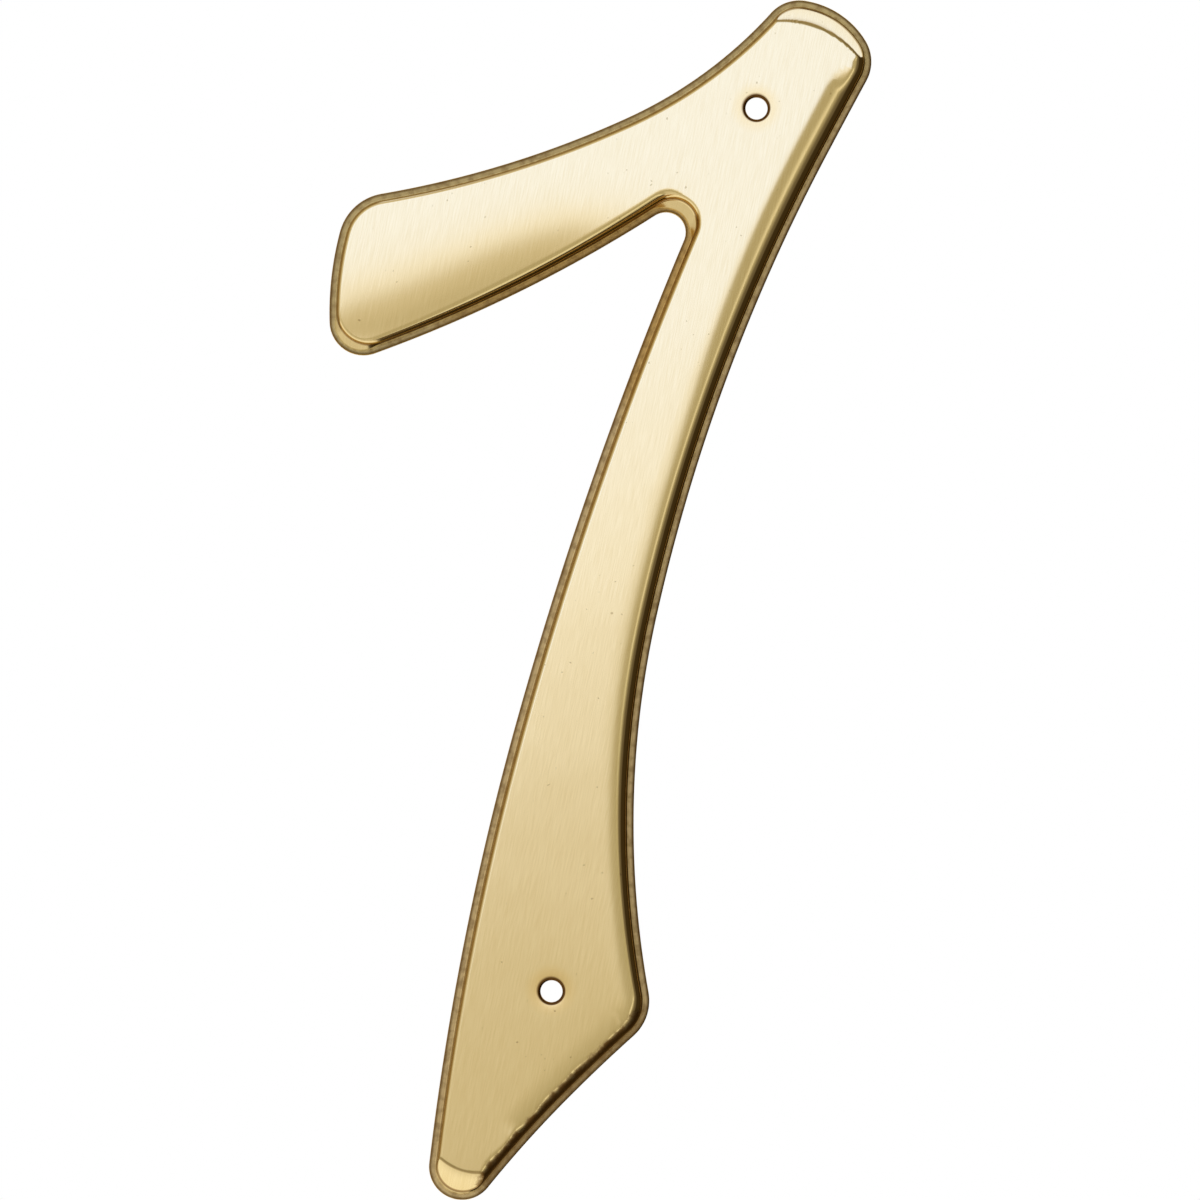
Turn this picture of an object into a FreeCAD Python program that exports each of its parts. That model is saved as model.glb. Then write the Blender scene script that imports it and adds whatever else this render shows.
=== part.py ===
import FreeCAD, Part
import math
import os

# The door number 7, pressed from one sheet of brass. It stands upright as on a door: z is up, the face
# looks to -y, the flat back of the rim lies on y = 0, and x = z = 0 is the middle of its height and width.
# Sizes in millimetres

# Overall sizes
digit_height = 101.6
depth = 3.0
sheet = 0.7

# Pressed form
rim_width = 0.68
shoulder_radius = 1.2

# Sloped ends: steepness against the face, the way each faces counted from x towards z, and its curve
top_slope_angle = 60.0
top_slope_facing = 60.0
top_slope_flatter = 0.7
bottom_slope_angle = 43.0
bottom_slope_facing = 252.0
bottom_slope_radius = 10.0
slope_clearance = 0.1
slope_overreach = 0.05

# Nail holes
nail_hole_diameter = 1.86
nail_hole_chamfer = 0.2

# Corner radii of the rim's edge, then of the wall of the pressed form, clockwise from the arm's upper left. The
# radius of the corner that points inward, between stem and arm, is negative
rim_corner_radii = [4.4, 3.2, 3.4, 4.0, 2.8, -1.69, 2.85]
form_corner_radii = [3.7, 2.6, 2.8, 3.3, 2.15, -2.1, 2.7]

# Outline of the rim in hundredths of the height, clockwise. Every side starts at its corner, as it would be
# without rounding. The first arc runs from there through the second point to the third, and the next arcs go
# on from it without a bend. A side ends at the next side's corner.
sides = [
    [(-20.78, 33.47), (-8.82, 36.05), (2.26, 40.18)],
    [(15.17, 49.98), (20.14, 48.74)],
    [(22.97, 44.67), (20.92, 40.88), (18.96, 37.21), (4.71, -1.39)],
    [(4.47, -34.87), (0.53, -38.42), (-3.14, -42.01)],
    [(-15.23, -57.07), (-12.15, -32.89), (-6.90, -9.91)],
    [(9.24, 35.19), (-6.14, 25.99)],
    [(-22.16, 19.40), (-22.42, 26.65)],
]
tip_side = 1

# Places on the face in hundredths of the height
top_nail_hole = (13.01, 40.85)
bottom_nail_hole = (-4.03, -32.52)

tolerance = 0.001

forward = FreeCAD.Vector(0, -1, 0)


# Plane geometry of the outline
def at(place):
    return FreeCAD.Vector(place[0], 0, place[1]) * (digit_height / 100)


def through(a, b, c):
    """Centre of the circle through three points."""
    ab = b - a
    ac = c - a
    across = ab.cross(ac)
    toward = (across.cross(ab) * ac.Length ** 2) + (ac.cross(across) * ab.Length ** 2)
    return a + toward * (0.5 / across.Length ** 2)


def side_arcs(number):
    """The arcs of one side, each as its start, its centre and its bend: 1 clockwise, -1 the other way."""
    places = [at(place) for place in sides[number]]
    end = at(sides[(number + 1) % len(sides)][0])
    ends = places[2:] + [end]
    start = places[0]
    centre = through(start, places[1], ends[0])
    arcs = []
    for index, finish in enumerate(ends):
        if index > 0:
            normal = (centre - start).normalize()
            chord = finish - start
            centre = start + normal * (chord.Length ** 2 / (2 * chord.dot(normal)))
        bend = 1 if (start - centre).cross(finish - centre).y > 0 else -1
        arcs.append((start, centre, bend))
        start = finish
    return arcs


def inset_radius(start, centre, bend, inset):
    return (start - centre).Length - bend * inset


def corner_round(before, after, corner, radius, inset):
    """Centre of the round in a corner, and the two points where it meets the arcs on either side."""
    reach = inset + radius
    first = inset_radius(*before, reach)
    second = inset_radius(*after, reach)
    between = after[1] - before[1]
    along = (first ** 2 - second ** 2 + between.Length ** 2) / (2 * between.Length)
    aside = math.sqrt(first ** 2 - along ** 2)
    axis = FreeCAD.Vector(between).normalize()
    normal = FreeCAD.Vector(-axis.z, 0, axis.x)
    foot = before[1] + axis * along
    centre = min(foot + normal * aside, foot - normal * aside, key=lambda c: (c - corner).Length)
    touches = []
    for arc in (before, after):
        outward = (centre - arc[1]).normalize()
        touches.append(arc[1] + outward * inset_radius(*arc, inset))
    return centre, touches[0], touches[1]


def arc_edge(start, end, centre):
    """The shorter arc about a centre from one point to another."""
    radius = (start - centre).Length
    middle = (start - centre) + (end - centre)
    return Part.Arc(start, centre + middle.normalize() * radius, end).toShape()


def outline(inset, corner_radii):
    """The digit's outline moved inward, as a closed wire of tangent arcs in the plane y = 0."""
    chains = [side_arcs(number) for number in range(len(sides))]
    rounds = []
    for number, chain in enumerate(chains):
        corner = at(sides[number][0])
        rounds.append(corner_round(chains[number - 1][-1], chain[0], corner, corner_radii[number], inset))
    edges = []
    for number, chain in enumerate(chains):
        centre, arrive, leave = rounds[number]
        edges.append(arc_edge(arrive, leave, centre))
        start = leave
        for index, arc in enumerate(chain):
            if index + 1 < len(chain):
                joint = chain[index + 1][0]
                finish = arc[1] + (joint - arc[1]).normalize() * inset_radius(*arc, inset)
            else:
                finish = rounds[(number + 1) % len(chains)][1]
            edges.append(arc_edge(start, finish, arc[1]))
            start = finish
    return Part.Wire(edges)


def block(wire, thickness):
    return Part.Face(wire).extrude(forward * thickness)


def edges_at(shape, level):
    """The edges of a shape that lie in the plane y = level."""
    found = []
    for edge in shape.Edges:
        box = edge.BoundBox
        if abs(box.YMin - level) < tolerance and abs(box.YMax - level) < tolerance:
            found.append(edge)
    return found


# Pressed form and its hollow back
def moved_in(corner_radii, distance):
    """Corner radii of the parallel outline that lies a distance further in."""
    return [radius - distance for radius in corner_radii]


def beyond_slope(wall, facing, steepness, plan_radius, inset):
    """What a sloped end leaves off the form: all beyond a leaning cylinder, from just above the rim up."""
    angle = math.radians(steepness)
    outward = FreeCAD.Vector(math.cos(math.radians(facing)), 0, math.sin(math.radians(facing)))
    mouth_height = sheet + slope_clearance
    foot_height = mouth_height + sheet * (1 - math.sin(angle)) / math.cos(angle)
    far_away = Part.Vertex(outward * (100 * digit_height))
    foot = wall.distToShape(far_away)[1][0][0] + outward * slope_overreach + forward * foot_height
    along = forward * math.sin(angle) - outward * math.cos(angle)
    normal = forward * math.cos(angle) + outward * math.sin(angle)
    round_radius = plan_radius / math.sin(angle)
    reach = 4 * depth
    axis_start = foot - normal * round_radius - along * reach
    cylinder = Part.makeCylinder(round_radius - inset, 3 * reach, axis_start, along)
    lowest = mouth_height - slope_clearance / 2 if inset else foot_height
    tool = Part.makeBox(reach, 2 * depth - lowest, reach, FreeCAD.Vector(-reach / 2, -2 * depth, -reach / 2))
    tool.rotate(FreeCAD.Vector(0, 0, 0), FreeCAD.Vector(0, 1, 0), 90 - facing)
    tool.translate(FreeCAD.Vector(foot.x, 0, foot.z))
    return tool.cut(cylinder)


def pressed(inset):
    """The raised form, moved inward all over by inset: wall, rounded shoulder and two sloped ends."""
    form = block(outline(rim_width + inset, moved_in(form_corner_radii, inset)), depth - inset)
    form = form.makeFillet(shoulder_radius - inset, edges_at(form, inset - depth))
    wall = outline(rim_width, form_corner_radii)
    tip_radius = inset_radius(*side_arcs(tip_side)[0], rim_width) + top_slope_flatter
    top_end = beyond_slope(wall, top_slope_facing, top_slope_angle, tip_radius, inset)
    bottom_end = beyond_slope(wall, bottom_slope_facing, bottom_slope_angle, bottom_slope_radius, inset)
    return form.cut([top_end, bottom_end])


def edges_inside(shape, level, region):
    """The edges in the plane y = level whose middle lies inside a flat region of the plane y = 0."""
    found = []
    for edge in edges_at(shape, level):
        point = edge.valueAt((edge.FirstParameter + edge.LastParameter) / 2)
        point.y = 0
        if region.isInside(point, tolerance, True):
            found.append(edge)
    return found


rim_middle = Part.Face(outline(rim_width / 2, moved_in(rim_corner_radii, rim_width / 2)))
rim = block(outline(0, rim_corner_radii), sheet)
seven = rim.fuse(pressed(0)).removeSplitter()
seven = seven.cut(pressed(sheet))
seven = seven.makeFillet(sheet, edges_inside(seven, 0, rim_middle))

# Nail holes, their front edge broken
for place in (top_nail_hole, bottom_nail_hole):
    hole_radius = nail_hole_diameter / 2
    seven = seven.cut(Part.makeCylinder(hole_radius, 2 * depth, at(place), forward))
    mouth_radius = hole_radius + nail_hole_chamfer
    mouth_start = at(place) + forward * (depth - nail_hole_chamfer)
    seven = seven.cut(Part.makeCone(hole_radius, mouth_radius, nail_hole_chamfer, mouth_start, forward))

os.makedirs("parts", exist_ok=True)
seven.Solids[0].exportStep("parts/number_seven.step")
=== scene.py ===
import math

import bmesh
import bpy
import numpy as np
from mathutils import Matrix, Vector, kdtree
from mathutils.geometry import delaunay_2d_cdt

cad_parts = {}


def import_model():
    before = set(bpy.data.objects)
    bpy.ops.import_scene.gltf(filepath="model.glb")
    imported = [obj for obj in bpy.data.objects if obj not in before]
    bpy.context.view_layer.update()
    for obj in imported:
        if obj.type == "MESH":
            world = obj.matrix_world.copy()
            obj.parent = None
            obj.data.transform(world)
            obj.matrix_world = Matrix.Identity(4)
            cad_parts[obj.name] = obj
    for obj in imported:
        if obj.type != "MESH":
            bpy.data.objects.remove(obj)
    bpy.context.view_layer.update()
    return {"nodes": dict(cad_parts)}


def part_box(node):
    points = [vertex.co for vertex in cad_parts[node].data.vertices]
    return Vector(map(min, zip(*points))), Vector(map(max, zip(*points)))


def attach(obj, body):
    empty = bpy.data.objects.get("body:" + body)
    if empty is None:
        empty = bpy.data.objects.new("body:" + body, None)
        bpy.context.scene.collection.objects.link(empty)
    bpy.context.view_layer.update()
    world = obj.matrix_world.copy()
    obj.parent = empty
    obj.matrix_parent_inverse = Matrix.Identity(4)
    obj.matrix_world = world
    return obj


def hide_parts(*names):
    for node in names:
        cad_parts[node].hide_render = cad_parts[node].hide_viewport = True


# A brass door number 7, pressed from one sheet. The digit is worked out in millimetres over its own plan, x to
# the right and z up, with height counted from the flat back of its rim towards the viewer

MM = 0.001

# Section of the pressing
SHEET = 0.7
SHOULDER_HEIGHT = 1.2
SHOULDER_WIDTH = 0.32
SHOULDER_EASE = 1.25
BACK_SHOULDER_WIDTH = 0.3
ROWS_REACH = 1.62
RIM_FRONT_ROUND = 0.16
RIM_BACK_ROUND = 0.06

# Where the rim is wider, the flat flange is narrower and a ramp leads to the wall
FLANGE_WIDTH = 0.56
FLANGE_NARROWING = 0.6
ROOT_LEAST = 0.1
ROOT_RISE = 0.78
ROOT_LIMIT_SHARPNESS = 4
WALL_LEAST = 0.1

# Facings are counted in degrees from x towards z: a form is full within the first spread of its facing and
# gone beyond the second. The shoulder is wider on the lower right, narrower again towards the arm's end, and
# widest on the stem's upper right. On the stem's lower right its width wanders, and its shoulder has brown
# patches that are partly tarnish and partly painted shade
LOWER_RIGHT = {"facing": 320, "full": 32, "gone": 75}
LOWER_RIGHT_WIDTH = 0.55
STEM_RIGHT = {"facing": 342, "full": 12, "gone": 24}
STEM_RIGHT_WIDTH = 0.4
STEM_RIGHT_EASE = 0.6
ARM_END = -22
ARM_MIDDLE = -5
ARM_NARROWING = 0.65
BOTTOM_RIGHT = {"facing": 322, "full": 16, "gone": 34}
WANDER = 0.22
WANDER_LENGTHS = (6.1, 2.7)
SHADE_AND_TARNISH_REACH = 1.25

# The face falls away softly towards the wall, more towards the lower left, and is bevelled off on the right
FALL = 0.015
FALL_REACH = 1.05
FALL_SPACING = 8
LOWER_LEFT = {"facing": 262, "full": 32, "gone": 60}
LOWER_LEFT_FALL = 0.37
LOWER_LEFT_REACH = 1.8
RIGHT = {"facing": 350, "full": 25, "gone": 48}
BEVEL = 0.4
BEVEL_WIDTH = 2.5
BEVEL_LEAST = 0.45
BEVEL_LESS_BELOW = 12
BEVEL_FULL_ABOVE = 38
LESS_BELOW = -32
FULL_ABOVE = 4

# Distances from the sloped ends and the inward corner, the crook, over which widths, falls and bevels come in
TIP_NEAR = 4.0
TIP_FAR = 8.0
BEVEL_NEAR = 6.6
BEVEL_FAR = 8.0
CROOK_NEAR = 2.0
CROOK_FAR = 16.0
CROOK_SHARPNESS = 0.2

# Nail holes, in hundredths of the height, and the dimple round each. The painted shade round each hole lies off
# its middle
HOLE_PLACES = ((13.01, 40.85), (-4.03, -32.52))
HOLE_RADIUS = 0.93
HOLE_ROUND = 0.25
HOLE_SHADE_SHIFT = (-0.05, 0.06)
HOLE_SHADE_SHARPNESS = 0.33
DIMPLE = 0.03
DIMPLE_REACH = 0.45

# Sloped ends: the way each faces, its steepness against the face and its curve in plan, at its foot
TOP_SLOPE = {"facing": 74.0, "angle": 60.0, "radius": 8.0, "rounding": 0.21}
BOTTOM_SLOPE = {"facing": 252.0, "angle": 52.0, "radius": 4.6, "rounding": 0.14}
SLOPE_CLEARANCE = 0.1
SLOPE_HALF_WIDTH = 5.5
SLOPE_ROUNDING_REACH = 3.0

# Fineness of the mesh. Clearances are counted in spacings
OUTLINE_STEPS = 8
WALL_STEPS = 16
COLUMN_SPACING = 0.3
TIP_COLUMN_SPACING = 0.09
TIP_REACH = 6.0
FACE_SPACING = 0.4
CREASE_SPACING = 0.09
CREASE_BAND = 0.3
EDGE_CLEARANCE = 0.6
HOLE_CLEARANCE = 1.6
HOLE_SURROUND = (0.12, 0.28)
HOLE_POINTS = 56
HOLE_ROWS = 7
RIM_FRONT_ROWS = 7
RIM_BACK_ROWS = 4
FRONT_ROWS = (4, 6, 2, 18)
BACK_ROWS = (1, 5, 1, 6)
WALL_CURVE_SPACING = 0.03
NORMAL_STEP = 0.02
PLACES_AT_ONCE = 4000

# Tolerances, and the farthest from the wall that the rim's edge is looked for
RIM_FARTHEST = 3.0
FLAT = 1e-5
SAME_PLACE = 1e-6
JOINED = 1e-7
NEVER_ZERO = 1e-12

# What the finish knows of a vertex where nothing is given
FAR = 5.0
UNKNOWN = {"from_wall": -FAR, "from_root": -FAR, "from_edge": FAR, "from_crease": FAR, "shade_and_tarnish": 0.0}

# Camera, in metres, and the digit's height in the photo
CAMERA_DISTANCE = 0.7
PHOTO_PIXELS = 1200
DIGIT_PIXELS = 1199.15
SENSOR = 36.0

# Colours of the brass, which are pale, gold and olive on the flange, and of the painted light and shade on it
FACE_COLOR = (0.88, 0.73, 0.44, 1)
FLANGE_OLIVE = (0.7, 0.56, 0.27, 1)
FLANGE_PALE = (0.8, 0.62, 0.32, 1)
FLANGE_GOLD = (0.72, 0.48, 0.17, 1)
# Brown of the flange's mottles, also used for painted shade at the foot of the wall and on the lower-right
# shoulder
FLANGE_BROWN = (0.26, 0.14, 0.045, 1)
EDGE_TINT = (0.8, 0.6, 0.3, 1)
# Painted glint along the rim's cut edge
GLINT_COLOR = (0.95, 0.68, 0.2, 1)
# Painted reflection of the dimple round the nail holes
HALO_REFLECTION_COLOR = (0.86, 0.62, 0.26, 1)
# Painted shade along the cut edges and in the nail holes
EDGE_SHADE_COLOR = (0.14, 0.065, 0.018, 1)
GRAIN_COLOR = (0.825, 0.665, 0.375, 1)
# Colour of the pits, also used for painted shade along the creases of the sloped ends
PIT_AND_CREASE_SHADE_COLOR = (0.35, 0.25, 0.1, 1)
FACE_ROUGHNESS = 0.13
FLANGE_ROUGHNESS = 0.55

# Grain of the brushing, leaning right from upright, pits, mottles and the sheet's soft waves
GRAIN_LEAN = math.radians(-12)
GRAIN_WIDTH = 0.09 * MM
GRAIN_LENGTH = 2.6 * MM
GRAIN_DEPTH = 0.00025 * MM
PIT_SPACING = 0.45 * MM
MOTTLE_SIZE = 0.7 * MM
WAVE_SIZE = 9 * MM
WAVE_DEPTH = 0.02 * MM

# Where each colour comes in: none at the first distance or value of a noise and full at the second, or as
# strong as the third and fourth say. The flange is gold round a middle near the crook, and olive up one way
FLANGE_IN = (-0.13, -0.05)
ROUGH_IN = (-0.12, 0.08, FACE_ROUGHNESS, FLANGE_ROUGHNESS)
GOLD_MIDDLE = (-2 * MM, 0, 28 * MM)
GOLD_IN = (14 * MM, 10 * MM)
OLIVE_WAY = (-0.5, 0, 0.87)
OLIVE_IN = (25.5 * MM, 29 * MM)
MOTTLES_IN = (0.4, 0.7, 0.0, 0.5)
# Painted shade in the holes and along the rim's cut edge, and a painted glint on that edge
HOLE_SHADE_LINE = (0.13, 0.04)
EDGE_SHADE_LINE = (0.32, 0.1, 0.0, 0.75)
EDGE_GLINT = (0.06, 0.01, 0.0, 0.8)
# Painted reflection of the dimples round the holes
HALO_REFLECTION_IN = (0.5, 0.1, 0.0, 0.45)
# Painted shade in the crease at the foot of the wall
ROOT_SHADE_INSIDE = (-0.16, -0.06)
ROOT_SHADE_OUTSIDE = (0.15, 0.07)
ROOT_SHADE_STRENGTH = 0.8
CREASE_ABOVE = 0.85
# Painted shade along the creases of the sloped ends
CREASE_SHADE_LINE = (0.11, 0.02, 0.0, 0.8)
GRAIN_IN = (0.3, 0.7)
PITS_IN = (0.77, 0.81, 0.0, 0.5)
# Brown patches on the lower-right shoulder, partly tarnish and partly painted shade
SHADE_AND_TARNISH_RAGGED = (0.3, 0.7, -0.2, 0.2)
SHADE_AND_TARNISH_IN = (0.2, 0.9)
SHADE_AND_TARNISH_INWARD = (0.3, 0.0, 0.4, 1.0)

# Light tent: its colour changes with the direction, given by how far that leads to the right, behind, up and
# aside from the line of sight, or by a facing with the degrees beside it where a colour is gone and full
TENT_RADIUS = 1.5
TENT_END = math.radians(172)
TENT_RINGS = 24
TENT_SPOKES = 48
KEY_COLOR = (1.14, 1.3, 1.8, 1)
WARM_COLOR = (0.74, 0.68, 0.52, 1)
MIDDLE_COLOR = (1.14, 1.17, 1.24, 1)
DIM_COLOR = (0.52, 0.47, 0.31, 1)
BROWN_COLOR = (0.42, 0.34, 0.2, 1)
REAR_COLOR = (1.08, 1.04, 0.88, 1)
DARK_COLOR = (0.05, 0.033, 0.012, 1)
STREAK_COLOR = (1.0, 0.95, 0.75, 1)
SHADE_COLOR = (0.16, 0.13, 0.08, 1)
WARM_UP = (-0.22, -0.07)
MIDDLE_UP = (-0.06, 0.01)
KEY_UP = (0.005, 0.055)
WARM_ASIDE = (0.3, 0.6)
DIM_RIGHT = (0.13, 0.15)
STREAK_LEFT_EDGE = (0.28, 0.34)
STREAK_RIGHT_EDGE = (0.46, 0.4)
STREAK_TOP = (-0.045, -0.085)
SHADE_RIGHT = (0.4, 0.75)
BROWN_BEHIND = (-0.3, 0.1)
BELOW = (242, 50, 38)
WARM_BELOW = (-0.6, -0.4)
REAR_BELOW = (-0.32, 0.06)
HIGH = (60, 50, 35)
KEY_HIGH = (0.15, 0.35)
LOWER_SIDE = (330, 47, 40)
DARK_BEHIND = (-0.5, -0.28)
WARM_BEHIND = (0.84, 0.94)
LEAST_ASIDE = 0.001

# Floor, in metres
FLOOR_COLOR = (0.85, 0.85, 0.85, 1)
FLOOR_DEPTH = 0.25
FLOOR_SIZE = 2.4


# Outlines from the frame
def level_loops(mesh, level):
    """The closed edges of a mesh's flat faces in the plane y = level, as x and z in millimetres, tallest first."""
    bm = bmesh.new()
    bm.from_mesh(mesh)
    bmesh.ops.remove_doubles(bm, verts=bm.verts, dist=SAME_PLACE)
    neighbours = {}
    for edge in bm.edges:
        on_level = all(abs(v.co.y - level) < FLAT for v in edge.verts)
        in_plane = [abs(f.normal.y) > 1 - FLAT for f in edge.link_faces]
        if on_level and sum(in_plane) == 1:
            a, b = edge.verts
            neighbours.setdefault(a, []).append(b)
            neighbours.setdefault(b, []).append(a)
    loops = []
    while neighbours:
        loop = [next(iter(neighbours))]
        ahead = neighbours[loop[0]][0]
        while ahead is not loop[0]:
            loop.append(ahead)
            ahead = next(v for v in neighbours[ahead] if v is not loop[-2])
        for vertex in loop:
            del neighbours[vertex]
        loops.append(np.array([(v.co.x, v.co.z) for v in loop]) / MM)
    bm.free()
    loops.sort(key=lambda points: -np.ptp(points[:, 1]))
    return loops


def unit(vectors):
    return vectors / np.linalg.norm(vectors, axis=-1, keepdims=True)


def anticlockwise(points):
    ahead = np.roll(points, -1, 0)
    area = np.sum(points[:, 0] * ahead[:, 1] - points[:, 1] * ahead[:, 0]) / 2
    return points if area > 0 else points[::-1]


def smooth_curve(points, steps):
    """The smooth closed curve through points that lie on tangent arcs, as a fine polyline."""
    flat = points[:, 0] + 1j * points[:, 1]
    ahead, further = np.roll(flat, -1), np.roll(flat, -2)
    first, second, whole = (chord / abs(chord) for chord in (ahead - flat, further - ahead, further - flat))
    # The circle through three neighbours gives a tangent at each; where two arcs meet, one of them is off
    as_start = first * whole * second.conj()
    as_middle = np.roll(first * second * whole.conj(), 1)
    as_end = np.roll(second * whole * first.conj(), 2)
    turns = np.angle([as_start / as_middle, np.ones(len(flat)), as_end / as_middle])
    turned = as_middle * np.exp(1j * np.median(turns, 0))
    tangent = np.stack([turned.real, turned.imag], 1)
    length = abs(ahead - flat)[:, None]
    end, end_tangent = np.roll(points, -1, 0), np.roll(tangent, -1, 0)
    fine = []
    for t in np.arange(steps) / steps:
        leaving = points * (2 * t**3 - 3 * t**2 + 1) + tangent * length * (t**3 - 2 * t**2 + t)
        arriving = end * (3 * t**2 - 2 * t**3) + end_tangent * length * (t**3 - t**2)
        fine.append(leaving + arriving)
    return np.stack(fine, 1).reshape(-1, 2)


def spread_along(curve, spacing):
    """Points along a closed polyline, each about spacing (one value for each point of the polyline) from the
    next, and their outward normals."""
    closed = np.vstack([curve, curve[:1]])
    step = np.linalg.norm(np.diff(closed, axis=0), axis=1)
    count_to = np.concatenate([[0], np.cumsum(step / spacing)])
    count = round(count_to[-1])
    wanted = np.arange(count) * count_to[-1] / count
    tangent = unit(np.roll(curve, -1, 0) - np.roll(curve, 1, 0))
    closed_tangent = np.vstack([tangent, tangent[:1]])
    points = np.stack([np.interp(wanted, count_to, closed[:, k]) for k in (0, 1)], 1)
    along = unit(np.stack([np.interp(wanted, count_to, closed_tangent[:, k]) for k in (0, 1)], 1))
    return points, np.stack([along[:, 1], -along[:, 0]], 1)


def cross(a, b):
    return a[..., 0] * b[..., 1] - a[..., 1] * b[..., 0]


def reach_to(points, directions, curve, farthest):
    """How far each point lies from a closed polyline, measured along its own direction."""
    side = np.roll(curve, -1, 0) - curve
    gap = curve[None] - points[:, None]
    turn = cross(directions[:, None], side[None])
    turn[turn == 0] = NEVER_ZERO
    reach = cross(gap, side[None]) / turn
    share = cross(gap, directions[:, None]) / turn
    hit = (share >= 0) & (share < 1) & (reach > 0) & (reach < farthest)
    return np.where(hit, reach, np.inf).min(1)


def inside(places, polygon):
    found = np.zeros(len(places), bool)
    for a, b in zip(polygon, np.roll(polygon, -1, 0)):
        crosses = (a[1] > places[:, 1]) != (b[1] > places[:, 1])
        if crosses.any():
            x = a[0] + (places[:, 1] - a[1]) * (b[0] - a[0]) / (b[1] - a[1])
            found ^= crosses & (places[:, 0] < x)
    return found


def distance_to(places, curve):
    """The distance of each place to the nearest point of a fine polyline, and which point that is."""
    tree = kdtree.KDTree(len(curve))
    for index, point in enumerate(curve):
        tree.insert((point[0], point[1], 0), index)
    tree.balance()
    nearest = [tree.find((place[0], place[1], 0)) for place in places]
    return np.array([n[2] for n in nearest]), np.array([n[1] for n in nearest])


# Form of the pressing
def soft_step(values, start, end):
    share = np.clip((values - start) / (end - start), 0, 1)
    return share**2 * (3 - 2 * share)


def facing_share(normals, side):
    """1 for plan normals that face one side, softly to 0 beside it."""
    turned = np.degrees(np.arctan2(normals[:, 1], normals[:, 0])) - side["facing"]
    return soft_step(abs((turned + 180) % 360 - 180), side["gone"], side["full"])


def slope_height(places, slope, inset):
    """Height of a sloped end's leaning cylinder over the plan, moved inward all over by inset."""
    facing, angle = math.radians(slope["facing"]), math.radians(slope["angle"])
    out = (places - slope["foot"]) @ np.array([math.cos(facing), math.sin(facing)])
    side = (places - slope["foot"]) @ np.array([-math.sin(facing), math.cos(facing)])
    radius = slope["radius"] / math.sin(angle) - inset
    bulge = np.sqrt(np.clip(1 - (side / radius) ** 2, 0, 1))
    beyond = out + radius / math.sin(angle) * (1 - bulge)
    fall = math.tan(angle) * beyond + slope["rounding"] * np.clip(beyond, -SLOPE_ROUNDING_REACH, 0) ** 2
    height = slope["foot_height"] - inset / math.cos(angle) - fall
    return np.where(abs(side) < SLOPE_HALF_WIDTH, height, np.inf)


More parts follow.
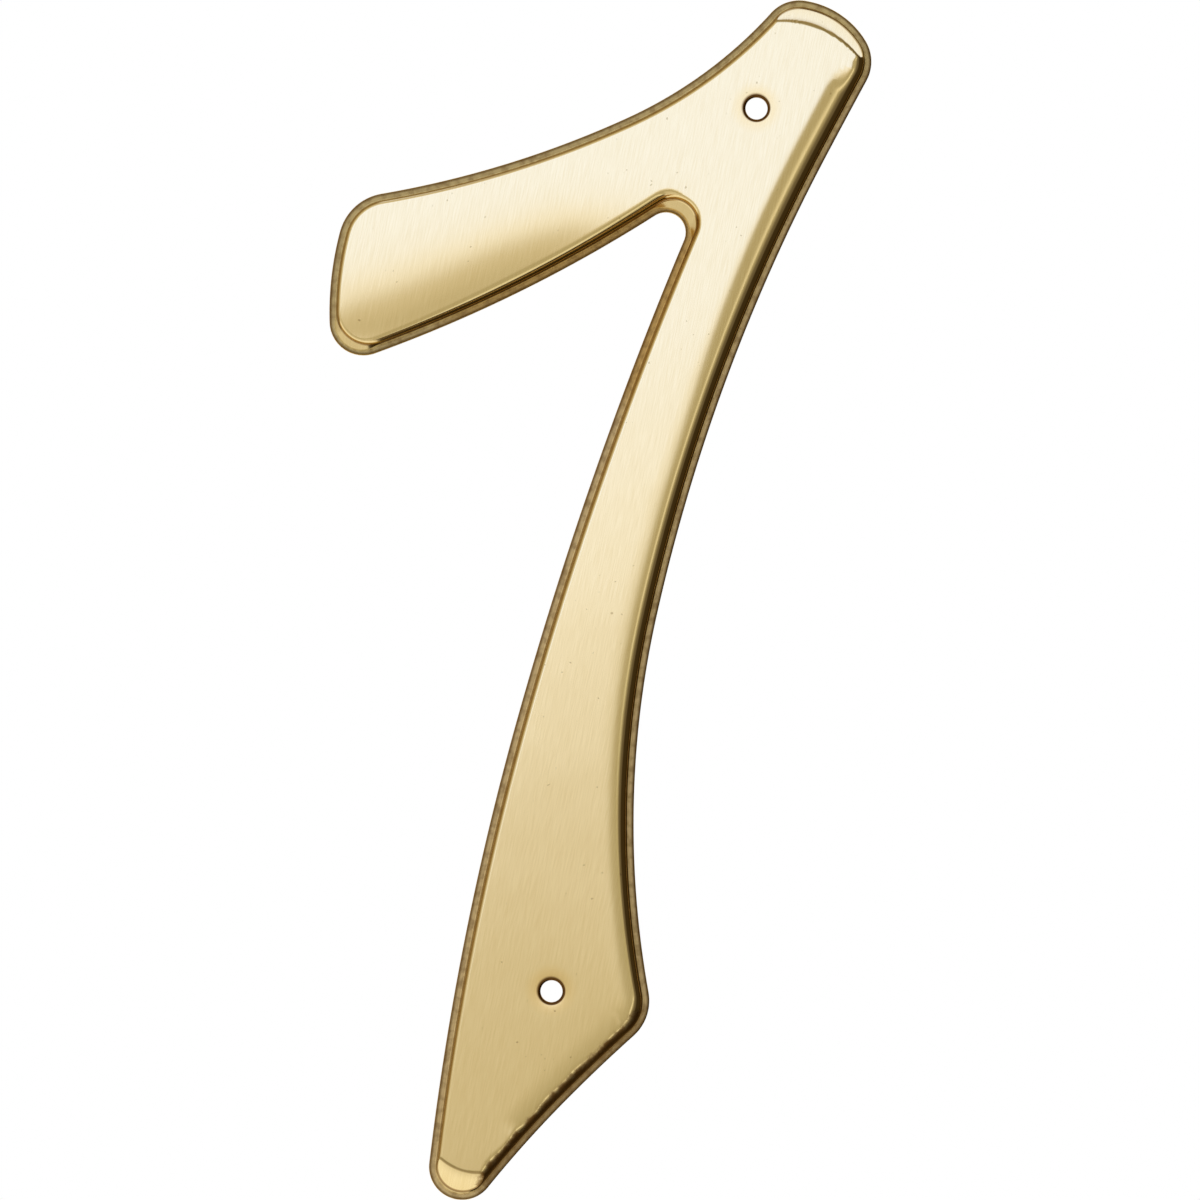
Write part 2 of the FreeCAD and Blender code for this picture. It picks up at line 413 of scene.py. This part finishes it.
class Pressing:
    """The digit's plan, cut into columns across its wall, and the section over it."""

    def __init__(self, node):
        low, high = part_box(node.name)
        self.depth = -low.y / MM
        self.height = (high.z - low.z) / MM
        outline = anticlockwise(level_loops(node.data, 0)[0])
        wall = anticlockwise(level_loops(node.data, -SHEET * MM)[1])
        self.outline = smooth_curve(outline, OUTLINE_STEPS)
        self.wall, wall_normals = spread_along(smooth_curve(wall, WALL_STEPS), WALL_CURVE_SPACING)
        self.slopes = []
        for slope in (TOP_SLOPE, BOTTOM_SLOPE):
            facing, angle = math.radians(slope["facing"]), math.radians(slope["angle"])
            farthest = np.argmax(self.wall @ np.array([math.cos(facing), math.sin(facing)]))
            foot_height = SHEET + SLOPE_CLEARANCE + SHEET * (1 - math.sin(angle)) / math.cos(angle)
            self.slopes.append(dict(slope, foot=self.wall[farthest], foot_height=foot_height))
        turned = cross(np.roll(wall_normals, 1, 0), wall_normals)
        self.crook = self.wall[turned < CROOK_SHARPNESS * turned.min()].mean(0)
        away = np.clip(self.tip_distance(self.wall) / TIP_REACH - 1, 0, 1)
        spacing = TIP_COLUMN_SPACING + (COLUMN_SPACING - TIP_COLUMN_SPACING) * away
        self.columns, self.normals = spread_along(self.wall, spacing)
        self.count = len(self.columns)
        self.rim = reach_to(self.columns, self.normals, self.outline, RIM_FARTHEST)
        self.holes = [np.array(place) * self.height / 100 for place in HOLE_PLACES]
        wider = self.rim - self.rim.min()
        root = np.maximum(self.rim - FLANGE_WIDTH + FLANGE_NARROWING * wider, ROOT_LEAST)
        most = (self.depth - SHOULDER_HEIGHT - SHEET - WALL_LEAST) / ROOT_RISE
        self.root = root / (1 + (root / most) ** ROOT_LIMIT_SHARPNESS) ** (1 / ROOT_LIMIT_SHARPNESS)
        self.section = self.section_at(self.columns, self.normals)
        self.wall_section = self.section_at(self.wall, wall_normals)
        lower_left = facing_share(wall_normals, LOWER_LEFT) * self.away_from_ends(self.wall)
        lower_left *= self.past_crook(self.wall)
        self.fall_places = self.wall[::FALL_SPACING]
        self.lower_left = LOWER_LEFT_FALL * lower_left[::FALL_SPACING]
        self.plan_face()

    def tip_distance(self, places):
        return np.min([np.linalg.norm(places - slope["foot"], axis=1) for slope in self.slopes], 0)

    def away_from_ends(self, places):
        return soft_step(self.tip_distance(places), TIP_NEAR, TIP_FAR)

    def past_crook(self, places):
        return soft_step(np.linalg.norm(places - self.crook, axis=1), CROOK_NEAR, CROOK_FAR)

    def bottom_right(self, places, normals):
        away = soft_step(self.tip_distance(places), 0, TIP_NEAR)
        return facing_share(normals, BOTTOM_RIGHT) * soft_step(places[:, 1], FULL_ABOVE, LESS_BELOW) * away

    def section_at(self, places, normals):
        """The width and ease of the shoulder and the height of the bevel, for places on the wall."""
        higher = soft_step(places[:, 1], LESS_BELOW, FULL_ABOVE)
        arm_end = soft_step(places[:, 0], ARM_MIDDLE, ARM_END) * higher
        wander = np.mean([np.sin(2 * math.pi * places[:, 1] / length) for length in WANDER_LENGTHS], 0)
        wider = LOWER_RIGHT_WIDTH * facing_share(normals, LOWER_RIGHT) * (1 - ARM_NARROWING * arm_end)
        wider += STEM_RIGHT_WIDTH * facing_share(normals, STEM_RIGHT) * higher
        wider += WANDER * wander * self.bottom_right(places, normals)
        ease = SHOULDER_EASE + STEM_RIGHT_EASE * facing_share(normals, STEM_RIGHT) * higher
        higher = soft_step(places[:, 1], BEVEL_LESS_BELOW, BEVEL_FULL_ABOVE)
        bevel = BEVEL * facing_share(normals, RIGHT) * (BEVEL_LEAST + (1 - BEVEL_LEAST) * higher)
        bevel *= soft_step(self.tip_distance(places), BEVEL_NEAR, BEVEL_FAR)
        return np.stack([SHOULDER_WIDTH + wider, ease, bevel])

    def at(self, offsets):
        """Plan places of rows of columns, from their outward offsets from the wall."""
        return self.columns[None] + self.normals[None] * offsets[..., None]

    def shoulder_height(self, inward, section, inset):
        """Height of shoulder, bevel and face at an inward distance from the top of the wall."""
        width, ease, bevel = section
        if inset:
            width = np.maximum(width - inset, BACK_SHOULDER_WIDTH)
        across = np.clip(1 - (inward - inset) / width, 0, 1)
        drop = 1 - np.sqrt(1 - across ** (2 * ease))
        bevelled = bevel * np.clip(1 - inward / BEVEL_WIDTH, 0, 1) ** 2
        return self.depth - inset - (SHOULDER_HEIGHT - inset) * drop - bevelled * (1 - drop)

    def fallen(self, places, heights, inset):
        """Heights with the face's fall towards its edges and the holes' dimples, cut by the sloped ends, and
        how far each place is from the crease of such an end."""
        fall = np.zeros(len(places))
        step = FALL_SPACING * WALL_CURVE_SPACING
        for start in range(0, len(places), PLACES_AT_ONCE):
            some = places[start:start + PLACES_AT_ONCE]
            away = np.linalg.norm(some[:, None] - self.fall_places[None], axis=2)
            near = FALL * np.exp(-away / FALL_REACH).sum(1) / (2 * FALL_REACH)
            far = np.exp(-away / LOWER_LEFT_REACH) @ self.lower_left / (2 * LOWER_LEFT_REACH)
            fall[start:start + PLACES_AT_ONCE] = (near + far) * step
        for hole in self.holes:
            away = np.linalg.norm(places - hole, axis=1) - HOLE_RADIUS
            fall += DIMPLE * np.exp(-(away / DIMPLE_REACH))
        risen = np.clip((heights - self.depth + SHOULDER_HEIGHT) / (SHOULDER_HEIGHT - inset), 0, 1)
        heights = heights - fall * risen
        from_crease = np.full(len(places), FAR)
        for slope in self.slopes:
            sloped = slope_height(places, slope, inset)
            gap = np.where(risen > CREASE_ABOVE, abs(sloped - heights), FAR)
            from_crease = np.minimum(from_crease, gap / math.tan(math.radians(slope["angle"])))
            heights = np.minimum(heights, sloped)
        return heights, from_crease

    def face_height(self, places, inset):
        """Heights over the plan, from the distance to the wall, and how far each place is from a crease."""
        inward, nearest = distance_to(places, self.wall)
        return self.fallen(places, self.shoulder_height(inward, self.wall_section[:, nearest], inset), inset)

    def face_normals(self, places):
        """The front's normals over the plan."""
        step = np.array([[NORMAL_STEP, 0], [0, NORMAL_STEP]])
        rise = [self.face_height(places + s, 0)[0] - self.face_height(places - s, 0)[0] for s in step]
        return unit(np.stack([-rise[0], np.full(len(places), -2 * NORMAL_STEP), -rise[1]], 1))

    def from_holes(self, places):
        """Distance from the painted shade round the nail holes, which lies off their middle, towards the upper
        left.
        """
        shifted = [np.linalg.norm(places - hole - HOLE_SHADE_SHIFT, axis=1) for hole in self.holes]
        return (np.min(shifted, 0) - HOLE_RADIUS) * HOLE_SHADE_SHARPNESS

    def crease_gap(self, places):
        """How far each place is from the nearest crease between the face and a sloped end, front or back."""
        gap = np.full(len(places), np.inf)
        for slope in self.slopes:
            for inset in (0, SHEET):
                over = slope_height(places, slope, inset) - (self.depth - inset)
                gap = np.minimum(gap, abs(over) / math.tan(math.radians(slope["angle"])))
        return gap

    def plan_face(self):
        """Triangles over the plan of the face, inside the last row of the shoulder."""
        last = self.at(np.full((1, self.count), -ROWS_REACH))[0]

        def lattice(spacing):
            rows = np.arange(last[:, 1].min(), last[:, 1].max(), spacing * math.sqrt(3) / 2)
            xs = np.arange(last[:, 0].min(), last[:, 0].max(), spacing)
            return np.concatenate([np.stack([xs + k % 2 * spacing / 2, np.full(len(xs), z)], 1)
                                   for k, z in enumerate(rows)])

        def clear_of_edges(places, spacing):
            places = places[inside(places, last)]
            clear = distance_to(places, last)[0] > spacing * EDGE_CLEARANCE
            for hole in self.holes:
                around = HOLE_RADIUS + HOLE_ROUND + spacing * HOLE_CLEARANCE
                clear &= np.linalg.norm(places - hole, axis=1) > around
            return places[clear]

        coarse = lattice(FACE_SPACING)
        coarse = coarse[self.crease_gap(coarse) > CREASE_BAND + FACE_SPACING / 2]
        fine = lattice(CREASE_SPACING)
        fine = fine[(self.tip_distance(fine) < TIP_REACH) & (self.crease_gap(fine) < CREASE_BAND)]
        turns = np.arange(HOLE_POINTS) * 2 * math.pi / HOLE_POINTS
        self.ring = np.stack([np.cos(turns), np.sin(turns)], 1)
        rims = [hole + self.ring * (HOLE_RADIUS + HOLE_ROUND) for hole in self.holes]
        around = [hole + self.ring[::2] * (HOLE_RADIUS + HOLE_ROUND + further)
                  for hole in self.holes for further in HOLE_SURROUND]
        loose = [clear_of_edges(coarse, FACE_SPACING), clear_of_edges(fine, CREASE_SPACING)]
        places = np.concatenate([last] + rims + around + loose)
        edges = [(k, (k + 1) % self.count) for k in range(self.count)]
        for number in range(len(rims)):
            start = self.count + number * HOLE_POINTS
            edges += [(start + k, start + (k + 1) % HOLE_POINTS) for k in range(HOLE_POINTS)]
        result = delaunay_2d_cdt([Vector(p) for p in places], edges, [], 0, JOINED)
        if len(result[0]) != len(places):
            raise ValueError("points or edges of the plan run into each other")
        triangles = np.array(result[2])
        middles = places[triangles].mean(1)
        kept = inside(middles, last)
        for rim in rims:
            kept &= ~inside(middles, rim)
        self.face_places = places[self.count:]
        self.face_triangles = triangles[kept]

    def side(self, inset):
        """One side of the sheet, the front for inset 0 and the back for the sheet's thickness: its rows from
        the rim's edge inwards as outward offsets, heights and distances from a crease."""
        edge_round = RIM_BACK_ROUND if inset else RIM_FRONT_ROUND
        bend, middle = self.root + inset, SHEET + self.root
        ones = np.ones(self.count)
        offsets, heights = [], []
        flange_rows, bend_rows, wall_rows, shoulder_rows = BACK_ROWS if inset else FRONT_ROWS
        for share in np.linspace(0, 1, flange_rows + 1)[:-1]:
            offsets.append((self.rim - edge_round) * (1 - share) + self.root * share)
            heights.append(ones * (SHEET - inset))
        for share in np.linspace(0, 1, bend_rows):
            turn = share * math.pi / 2
            offsets.append(self.root - bend * math.sin(turn) if inset else self.root * (1 - share))
            heights.append(middle - bend * math.cos(turn) if inset else SHEET + self.root * ROOT_RISE * share)
        wall_foot, wall_top = heights[-1], self.shoulder_height(ones * inset, self.section, inset)
        for share in np.linspace(0, 1, wall_rows + 2)[1:-1]:
            offsets.append(-inset * ones)
            heights.append(wall_foot + (wall_top - wall_foot) * share)
        for turn in np.linspace(0, math.pi / 2, shoulder_rows):
            inward = (inset + (ROWS_REACH - inset) * (1 - math.cos(turn))) * ones
            offsets.append(-inward)
            heights.append(self.shoulder_height(inward, self.section, inset))
        offsets, heights = np.array(offsets), np.array(heights)
        fallen, from_crease = self.fallen(self.at(offsets).reshape(-1, 2), heights.ravel(), inset)
        fallen = np.maximum(fallen.reshape(heights.shape), wall_foot)
        heights = np.where(heights > wall_foot, fallen, heights)
        return offsets, heights, from_crease.reshape(heights.shape)


def grid_faces(rows, columns, start):
    """Quads between neighbouring rows of a closed grid whose vertices are numbered row by row from start."""
    row, column = np.meshgrid(np.arange(rows - 1), np.arange(columns), indexing="ij")
    here, beside = row * columns + column, row * columns + (column + 1) % columns
    return (np.stack([here, beside, beside + columns, here + columns], -1) + start).reshape(-1, 4)


def linked_faces(first, second):
    """Quads between two closed rows of as many vertices, given by their numbers."""
    return np.stack([first, np.roll(first, -1), np.roll(second, -1), second], 1)


class Shell:
    """Vertices as plan and height with what the finish needs to know of each, and faces between them."""

    def __init__(self):
        self.places, self.heights, self.normals, self.faces = [], [], [], []
        self.known = {label: [] for label in UNKNOWN}
        self.size = 0

    def add(self, places, heights, **given):
        """Adds vertices and returns the number of the first."""
        first = self.size
        self.places.append(places.reshape(-1, 2))
        self.heights.append(np.broadcast_to(heights, places.shape[:-1]).ravel())
        for label, kept in self.known.items():
            values = given.get(label, UNKNOWN[label])
            kept.append(np.broadcast_to(values, places.shape[:-1]).ravel())
        self.size += len(self.heights[-1])
        return first

    def object(self, name):
        places, heights = np.concatenate(self.places), np.concatenate(self.heights)
        mesh = bpy.data.meshes.new(name)
        corners = np.stack([places[:, 0], -heights, places[:, 1]], 1) * MM
        mesh.from_pydata(corners.tolist(), [], [face.tolist() for faces in self.faces for face in faces])
        for label, values in self.known.items():
            mesh.attributes.new(label, "FLOAT", "POINT").data.foreach_set("value", np.concatenate(values))
        mesh.shade_smooth()
        normals = np.zeros((self.size, 3))
        for first, given in self.normals:
            normals[first:first + len(given)] = given
        mesh.normals_split_custom_set_from_vertices(normals.tolist())
        made = bpy.data.objects.new(name, mesh)
        bpy.context.scene.collection.objects.link(made)
        return made


def build_digit(pressing):
    shell = Shell()
    edge_rows, hole_rims = [], []
    for inset in (0, SHEET):
        offsets, heights, from_crease = pressing.side(inset)
        # Brown patches on the lower-right shoulder, partly tarnish and partly painted shade
        shade_and_tarnish = pressing.bottom_right(pressing.columns, pressing.normals)
        shade_and_tarnish = shade_and_tarnish * soft_step(-offsets, SHADE_AND_TARNISH_REACH, 0)
        known = {"from_wall": offsets, "from_root": offsets - pressing.root, "shade_and_tarnish": shade_and_tarnish}
        known["from_edge"] = pressing.rim - offsets
        first = shell.add(pressing.at(offsets), heights, from_crease=from_crease, **known)
        rows = grid_faces(len(offsets), pressing.count, first)
        face, from_crease = pressing.face_height(pressing.face_places, inset)
        # Distance from the painted shade and the painted reflection round the holes
        from_edge = pressing.from_holes(pressing.face_places)
        face_first = shell.add(pressing.face_places, face, from_crease=from_crease, from_edge=from_edge)
        last_row = first + (len(offsets) - 1) * pressing.count
        if not inset:
            shell.normals.append((last_row, pressing.face_normals(pressing.at(offsets[-1:])[0])))
            shell.normals.append((face_first, pressing.face_normals(pressing.face_places)))
        numbers = pressing.face_triangles
        numbers = np.where(numbers < pressing.count, numbers + last_row, numbers - pressing.count + face_first)
        shell.faces += [rows[:, ::-1], numbers[:, ::-1]] if inset else [rows, numbers]
        edge_rows.append(first + np.arange(pressing.count))
        rims = face_first + np.arange(len(pressing.holes) * HOLE_POINTS).reshape(-1, HOLE_POINTS)
        hole_rims.append((rims, face[:rims.size].reshape(rims.shape)))
    # The rim's cut edge, from front to back, which carries painted shade and a painted glint
    offsets, heights = [], []
    for turn in np.linspace(0, math.pi / 2, RIM_FRONT_ROWS)[1:]:
        offsets.append(pressing.rim - RIM_FRONT_ROUND * (1 - math.sin(turn)))
        heights.append(SHEET - RIM_FRONT_ROUND * (1 - math.cos(turn)))
    for turn in np.linspace(math.pi / 2, 0, RIM_BACK_ROWS)[:-1]:
        offsets.append(pressing.rim - RIM_BACK_ROUND * (1 - math.sin(turn)))
        heights.append(RIM_BACK_ROUND * (1 - math.cos(turn)))
    offsets, heights = np.array(offsets), np.array(heights)[:, None]
    known = {"from_wall": FAR, "from_root": FAR, "from_edge": pressing.rim - offsets}
    first = shell.add(pressing.at(offsets), heights, **known)
    last = first + (len(offsets) - 1) * pressing.count
    across = np.arange(pressing.count)
    shell.faces += [linked_faces(first + across, edge_rows[0]),
                    grid_faces(len(offsets), pressing.count, first)[:, ::-1],
                    linked_faces(edge_rows[1], last + across)]
    # The nail holes, rolled in at the front, their walls darkened with painted shade
    for number, hole in enumerate(pressing.holes):
        front, back = hole_rims[0][0][number], hole_rims[1][0][number]
        top, bottom = hole_rims[0][1][number], hole_rims[1][1][number]
        rows = [(HOLE_ROUND * (1 - math.sin(turn)), top - HOLE_ROUND * (1 - math.cos(turn)))
                for turn in np.linspace(0, math.pi / 2, HOLE_ROWS)[1:]]
        rows.append((0, bottom))
        before = front
        for further, heights in rows:
            places = hole + pressing.ring * (HOLE_RADIUS + further)
            row = shell.add(places, heights, from_edge=0.0) + np.arange(HOLE_POINTS)
            shell.faces.append(linked_faces(before, row))
            before = row
        shell.faces.append(linked_faces(before, back))
    return shell.object("brass_seven")


# Finish
class Tree:
    """A material's or world's nodes, with short calls to add and link them."""

    def __init__(self, owner):
        owner.use_nodes = True
        self.nodes, self.links = owner.node_tree.nodes, owner.node_tree.links

    def add(self, kind, inputs=(), output=0, **settings):
        """Adds a node, sets its inputs to values or to other nodes' outputs, and returns one of its outputs."""
        node = self.nodes.new(kind)
        for name, value in settings.items():
            setattr(node, name, value)
        for name, value in dict(inputs).items():
            self.put(node.inputs[name], value)
        return node.outputs[output]

    def put(self, socket, value):
        if isinstance(value, bpy.types.NodeSocket):
            self.links.new(value, socket)
        else:
            socket.default_value = value

    def attribute(self, label):
        return self.add("ShaderNodeAttribute", output=2, attribute_name=label)

    def math(self, operation, *values):
        return self.add("ShaderNodeMath", enumerate(values), operation=operation)

    def ramp(self, value, start, end, low=0.0, high=1.0):
        """A soft step of a value, from low at start to high at end."""
        inputs = {"Value": value, "From Min": start, "From Max": end, "To Min": low, "To Max": high}
        return self.add("ShaderNodeMapRange", inputs, interpolation_type="SMOOTHSTEP")

    def mix(self, share, first, second):
        inputs = {0: share, 6: first, 7: second}
        return self.add("ShaderNodeMix", inputs, output=2, data_type="RGBA")


def brass():
    material = bpy.data.materials.new("brushed_brass")
    tree = Tree(material)
    shader = tree.nodes["Principled BSDF"]
    from_wall, from_root, from_edge, from_crease, shade_and_tarnish = (tree.attribute(label) for label in UNKNOWN)
    place = tree.add("ShaderNodeTexCoord", output=3)
    turned = tree.add("ShaderNodeMapping", {"Vector": place, "Rotation": (0, GRAIN_LEAN, 0)})
    along = tree.add("ShaderNodeMapping", {"Vector": turned, "Scale": (1 / GRAIN_WIDTH, 1, 1 / GRAIN_LENGTH)})
    grain = tree.add("ShaderNodeTexNoise", {"Vector": along, "Scale": 1, "Detail": 3, "Roughness": 0.6})
    mottle = tree.add("ShaderNodeTexNoise", {"Vector": place, "Scale": 1 / MOTTLE_SIZE, "Detail": 4})
    waves = tree.add("ShaderNodeTexNoise", {"Vector": place, "Scale": 1 / WAVE_SIZE, "Detail": 1})
    pits = tree.add("ShaderNodeTexNoise", {"Vector": place, "Scale": 1 / PIT_SPACING, "Detail": 1})
    # Face, with a golden halo round the holes that is a painted reflection of their dimples, pits, and a line of
    # painted shade along the creases of the sloped ends
    face = tree.mix(tree.ramp(grain, *GRAIN_IN), GRAIN_COLOR, FACE_COLOR)
    face = tree.mix(tree.ramp(from_edge, *HALO_REFLECTION_IN), face, HALO_REFLECTION_COLOR)
    face = tree.mix(tree.ramp(pits, *PITS_IN), face, PIT_AND_CREASE_SHADE_COLOR)
    face = tree.mix(tree.ramp(from_crease, *CREASE_SHADE_LINE), face, PIT_AND_CREASE_SHADE_COLOR)
    # Flange
    flange = tree.ramp(from_root, *FLANGE_IN)
    from_middle = tree.add("ShaderNodeVectorMath", {0: place, 1: GOLD_MIDDLE}, output=1, operation="DISTANCE")
    upward = tree.add("ShaderNodeVectorMath", {0: place, 1: OLIVE_WAY}, output=1, operation="DOT_PRODUCT")
    flange_color = tree.mix(tree.ramp(from_middle, *GOLD_IN), FLANGE_PALE, FLANGE_GOLD)
    flange_color = tree.mix(tree.ramp(upward, *OLIVE_IN), flange_color, FLANGE_OLIVE)
    flange_color = tree.mix(tree.ramp(mottle, *MOTTLES_IN), flange_color, FLANGE_BROWN)
    color = tree.mix(flange, face, flange_color)
    # Painted shade: a brown line in the crease at the foot of the wall, brown patches on the lower-right shoulder
    # that are partly tarnish and partly painted shade, and dark lines at the cut edges and in the holes
    root = tree.math("MULTIPLY", tree.ramp(from_wall, *ROOT_SHADE_INSIDE), tree.ramp(from_wall, *ROOT_SHADE_OUTSIDE))
    color = tree.mix(tree.math("MULTIPLY", root, ROOT_SHADE_STRENGTH), color, FLANGE_BROWN)
    shade_and_tarnish_spots = tree.ramp(tree.math("ADD", shade_and_tarnish, tree.ramp(mottle, *SHADE_AND_TARNISH_RAGGED)), *SHADE_AND_TARNISH_IN)
    shade_and_tarnish_spots = tree.math("MULTIPLY", shade_and_tarnish_spots, tree.ramp(from_wall, *SHADE_AND_TARNISH_INWARD))
    color = tree.mix(shade_and_tarnish_spots, color, FLANGE_BROWN)
    # Painted shade along the rim's cut edge and in the nail holes
    edge_shade = tree.math("MULTIPLY", tree.ramp(from_edge, *EDGE_SHADE_LINE), flange)
    edge_shade = tree.math("MAXIMUM", tree.ramp(from_edge, *HOLE_SHADE_LINE), edge_shade)
    color = tree.mix(edge_shade, color, EDGE_SHADE_COLOR)
    # Painted glint along the rim's cut edge
    glint = tree.math("MULTIPLY", tree.ramp(from_edge, *EDGE_GLINT), flange)
    color = tree.mix(glint, color, GLINT_COLOR)
    tree.put(shader.inputs["Base Color"], color)
    roughness = tree.ramp(from_root, *ROUGH_IN)
    dulled = tree.ramp(shade_and_tarnish_spots, 0.0, 1.0, FACE_ROUGHNESS, FLANGE_ROUGHNESS)
    tree.put(shader.inputs["Roughness"], tree.math("MAXIMUM", roughness, dulled))
    scratched = tree.add("ShaderNodeBump", {"Height": grain, "Distance": GRAIN_DEPTH})
    dented = tree.add("ShaderNodeBump", {"Height": waves, "Distance": WAVE_DEPTH, "Normal": scratched})
    tree.put(shader.inputs["Normal"], dented)
    shader.inputs["Metallic"].default_value = 1
    shader.inputs["Specular Tint"].default_value = EDGE_TINT
    return material


# Studio
def tent():
    """A light tent round the digit, open behind it, that only reflections see."""
    rings = [TENT_END * k / TENT_RINGS for k in range(1, TENT_RINGS + 1)]
    spokes = [2 * math.pi * k / TENT_SPOKES for k in range(TENT_SPOKES)]
    corners = [(0, -TENT_RADIUS, 0)]
    for ring in rings:
        across, ahead = TENT_RADIUS * math.sin(ring), TENT_RADIUS * math.cos(ring)
        corners += [(across * math.cos(spoke), -ahead, across * math.sin(spoke)) for spoke in spokes]
    faces = [(0, 1 + k, 1 + (k + 1) % TENT_SPOKES) for k in range(TENT_SPOKES)]
    faces += grid_faces(TENT_RINGS, TENT_SPOKES, 1).tolist()
    mesh = bpy.data.meshes.new("light_tent")
    mesh.from_pydata(corners, [], faces)
    material = bpy.data.materials.new("light_tent")
    tree = Tree(material)
    tree.nodes.clear()
    place = tree.add("ShaderNodeTexCoord", output=3)
    sides = tree.nodes.new("ShaderNodeSeparateXYZ")
    tree.links.new(tree.add("ShaderNodeVectorMath", {0: place}, operation="NORMALIZE"), sides.inputs[0])
    right, behind, up = sides.outputs
    aside = tree.math("SQRT", tree.math("SUBTRACT", 1.0, tree.math("MULTIPLY", behind, behind)))

    def toward(facing, none, full):
        """1 for directions that lead off to one side, softly to 0 a number of degrees beside that facing."""
        facing = math.radians(facing)
        along = tree.math("ADD", tree.math("MULTIPLY", right, math.cos(facing)),
                          tree.math("MULTIPLY", up, math.sin(facing)))
        along = tree.math("DIVIDE", along, tree.math("MAXIMUM", aside, LEAST_ASIDE))
        return tree.ramp(along, math.cos(math.radians(none)), math.cos(math.radians(full)))

    streak = tree.math("MULTIPLY", tree.ramp(right, *STREAK_LEFT_EDGE), tree.ramp(right, *STREAK_RIGHT_EDGE))
    below = toward(*BELOW)
    layers = [
        (tree.ramp(up, *WARM_UP), WARM_COLOR),
        (tree.ramp(up, *MIDDLE_UP), MIDDLE_COLOR),
        (tree.ramp(up, *KEY_UP), KEY_COLOR),
        (tree.ramp(aside, *WARM_ASIDE), WARM_COLOR),
        (tree.ramp(right, *DIM_RIGHT), DIM_COLOR),
        (tree.math("MULTIPLY", streak, tree.ramp(up, *STREAK_TOP)), STREAK_COLOR),
        (tree.ramp(right, *SHADE_RIGHT), SHADE_COLOR),
        (tree.ramp(behind, *BROWN_BEHIND), BROWN_COLOR),
        (tree.math("MULTIPLY", below, tree.ramp(behind, *WARM_BELOW)), WARM_COLOR),
        (tree.math("MULTIPLY", below, tree.ramp(behind, *REAR_BELOW)), REAR_COLOR),
        (tree.math("MULTIPLY", toward(*HIGH), tree.ramp(behind, *KEY_HIGH)), KEY_COLOR),
        (tree.math("MULTIPLY", toward(*LOWER_SIDE), tree.ramp(behind, *DARK_BEHIND)), DARK_COLOR),
        (tree.ramp(behind, *WARM_BEHIND), WARM_COLOR),
    ]
    color = DIM_COLOR
    for share, over in layers:
        color = tree.mix(share, color, over)
    glow = tree.add("ShaderNodeEmission", {"Color": color})
    surface = tree.nodes.new("ShaderNodeOutputMaterial").inputs["Surface"]
    tree.put(surface, glow)
    mesh.materials.append(material)
    made = bpy.data.objects.new("light_tent", mesh)
    bpy.context.scene.collection.objects.link(made)
    made.visible_camera = False
    made.visible_diffuse = False
    made.visible_shadow = False


def floor():
    """A plain pale floor well below the digit."""
    half, down = FLOOR_SIZE / 2, -FLOOR_DEPTH
    corners = [(-half, -half, down), (half, -half, down), (half, half, down), (-half, half, down)]
    mesh = bpy.data.meshes.new("floor")
    mesh.from_pydata(corners, [], [(0, 1, 2, 3)])
    material = bpy.data.materials.new("pale_floor")
    tree = Tree(material)
    shader = tree.nodes["Principled BSDF"]
    shader.inputs["Base Color"].default_value = FLOOR_COLOR
    shader.inputs["Roughness"].default_value = 1
    mesh.materials.append(material)
    made = bpy.data.objects.new("floor", mesh)
    bpy.context.scene.collection.objects.link(made)
    made.visible_glossy = False


def world():
    made = bpy.data.worlds.new("studio")
    bpy.context.scene.world = made
    tree = Tree(made)
    back = tree.nodes["Background"]
    back.inputs["Color"].default_value = (1, 1, 1, 1)
    back.inputs["Strength"].default_value = 1


def camera(pressing):
    data = bpy.data.cameras.new("camera")
    made = bpy.data.objects.new("camera", data)
    bpy.context.scene.collection.objects.link(made)
    made.location = (0, -CAMERA_DISTANCE, 0)
    made.rotation_euler = (math.pi / 2, 0, 0)
    data.sensor_width = SENSOR
    view_width = pressing.height * MM * PHOTO_PIXELS / DIGIT_PIXELS
    data.lens = SENSOR * (CAMERA_DISTANCE - SHEET / 2 * MM) / view_width
    return made


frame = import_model()
pressing = Pressing(frame["nodes"]["number_seven"])
digit = build_digit(pressing)
digit.data.materials.append(brass())
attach(digit, "root")
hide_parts("number_seven")
tent()
floor()
world()
bpy.context.scene.camera = camera(pressing)
bpy.context.scene.view_settings.view_transform = "Standard"
